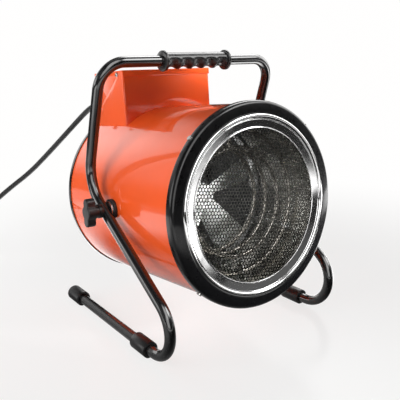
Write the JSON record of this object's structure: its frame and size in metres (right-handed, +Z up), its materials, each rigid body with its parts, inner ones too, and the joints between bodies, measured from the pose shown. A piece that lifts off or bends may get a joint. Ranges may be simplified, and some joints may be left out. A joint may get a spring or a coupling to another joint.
{
  "type": "forced air heater",
  "caption": "Round drum fan heater tilting between the legs of a bent tube stand, with a perforated round outlet, a raised control box, a grip, clamp knobs and a cord.",
  "frame": {"origin": "on the floor, under the middle of the heater (without the cord)", "axes": "+Z up; the hot air leaves towards -Y; +X is across the heater, along the pivots and the grip"},
  "size_m": [0.5391, 0.853, 0.427],
  "materials": {
    "orange_paint": "high-gloss orange powder coat on sheet steel",
    "black_trim": "gloss black enamelled pressing",
    "polished_steel": "bright polished steel",
    "mesh_steel": "bright perforated sheet",
    "galvanised_steel": "bright galvanised sheet",
    "element_steel": "dull heat-tinted stainless sheath",
    "ceramic": "white glazed ceramic",
    "brass": "bright brass",
    "fan_aluminium": "plain rolled aluminium",
    "motor_paint": "satin black paint",
    "steel": "zinc-plated steel",
    "screw_steel": "zinc-plated screws",
    "black_moulding": "semi-matte black moulding",
    "grey_moulding": "light grey moulding",
    "spacer_rubber": "black rubber",
    "stand_enamel": "gloss black enamel on steel tube",
    "cord_rubber": "black rubber sheath"
  },
  "bodies": {
    "stand": {"stand_tube": "stand_enamel", "handle_grip": "black_moulding", "foot_cap_left": "black_moulding", "foot_cap_right": "black_moulding", "foot_sleeve_left": "black_moulding", "foot_sleeve_right": "black_moulding", "cup_washer_left": "steel", "cup_washer_right": "steel"},
    "drum": {"casing": "orange_paint", "control_box": "orange_paint", "control_lid": "orange_paint", "control_back_panel": "orange_paint", "front_bezel": "black_trim", "rear_edge_trim": "black_trim", "trim_ring": "polished_steel", "outlet_grille": "mesh_steel", "liner": "galvanised_steel", "liner_support": "galvanised_steel", "fan_shroud": "galvanised_steel", "motor_bracket": "galvanised_steel", "rear_guard": "galvanised_steel", "terminal_plate": "galvanised_steel", "element_front": "element_steel", "element_middle": "element_steel", "element_rear": "element_steel", "element_hanger_1": "element_steel", "element_hanger_2": "element_steel", "element_hanger_3": "element_steel", "element_bushings": "ceramic", "element_terminals": "brass", "motor": "motor_paint", "motor_bolts": "steel", "nut_plate_left": "steel", "nut_plate_right": "steel", "pivot_spacer_left": "spacer_rubber", "pivot_spacer_right": "spacer_rubber", "lid_screws": "screw_steel", "panel_screws": "screw_steel", "bezel_screws": "screw_steel", "heat_switch": "black_moulding", "thermostat": "grey_moulding", "terminal_block": "grey_moulding", "overheat_cutout": "grey_moulding", "cable_gland": "black_moulding", "cord_run": "cord_rubber", "cord_coil": "cord_rubber", "mains_plug": "cord_rubber"},
    "saddle_left": {"knob_saddle_left": "black_moulding"},
    "saddle_right": {"knob_saddle_right": "black_moulding"},
    "knob_left": {"clamp_knob_left": "black_moulding", "clamp_stud_left": "steel"},
    "knob_right": {"clamp_knob_right": "black_moulding", "clamp_stud_right": "steel"},
    "fan": {"fan_impeller": "fan_aluminium", "motor_shaft": "steel"},
    "heat_control": {"heat_knob": "black_moulding"},
    "thermostat_control": {"thermostat_knob": "black_moulding"}
  },
  "joints": [
    {"name": "drum_tilt", "type": "hinge", "parent": "stand", "child": "drum", "pos_m": [0, -0.00009, 0.196], "axis": [-1, 0, 0], "range_deg": [-14, 16]},
    {"name": "left_saddle_slide", "type": "slide", "parent": "stand", "child": "saddle_left", "axis": [-1, 0, 0], "range_m": [0, 0.0025]},
    {"name": "right_saddle_slide", "type": "slide", "parent": "stand", "child": "saddle_right", "axis": [1, 0, 0], "range_m": [0, 0.0025]},
    {"name": "left_knob_turn", "type": "hinge", "parent": "saddle_left", "child": "knob_left", "pos_m": [-0.18, -0.00009, 0.196], "axis": [-1, 0, 0], "range_deg": [0, 720]},
    {"name": "right_knob_turn", "type": "hinge", "parent": "saddle_right", "child": "knob_right", "pos_m": [0.18, -0.00009, 0.196], "axis": [1, 0, 0], "range_deg": [0, 720]},
    {"name": "fan_spin", "type": "hinge", "parent": "drum", "child": "fan", "pos_m": [0, -0.02198, 0.19817], "axis": [0, -0.9951, 0.0985], "continuous": true},
    {"name": "heat_knob_turn", "type": "hinge", "parent": "drum", "child": "heat_control", "pos_m": [-0.005, 0.15546, 0.35641], "axis": [0, 0.9951, -0.0985], "range_deg": [0, 270]},
    {"name": "thermostat_knob_turn", "type": "hinge", "parent": "drum", "child": "thermostat_control", "pos_m": [0.045, 0.15546, 0.35641], "axis": [0, 0.9951, -0.0985], "range_deg": [0, 300]}
  ],
  "couplings": [
    {"joint": "left_knob_turn", "follows": "left_saddle_slide", "rad_per_m": 5026.5},
    {"joint": "right_knob_turn", "follows": "right_saddle_slide", "rad_per_m": 5026.5}
  ]
}
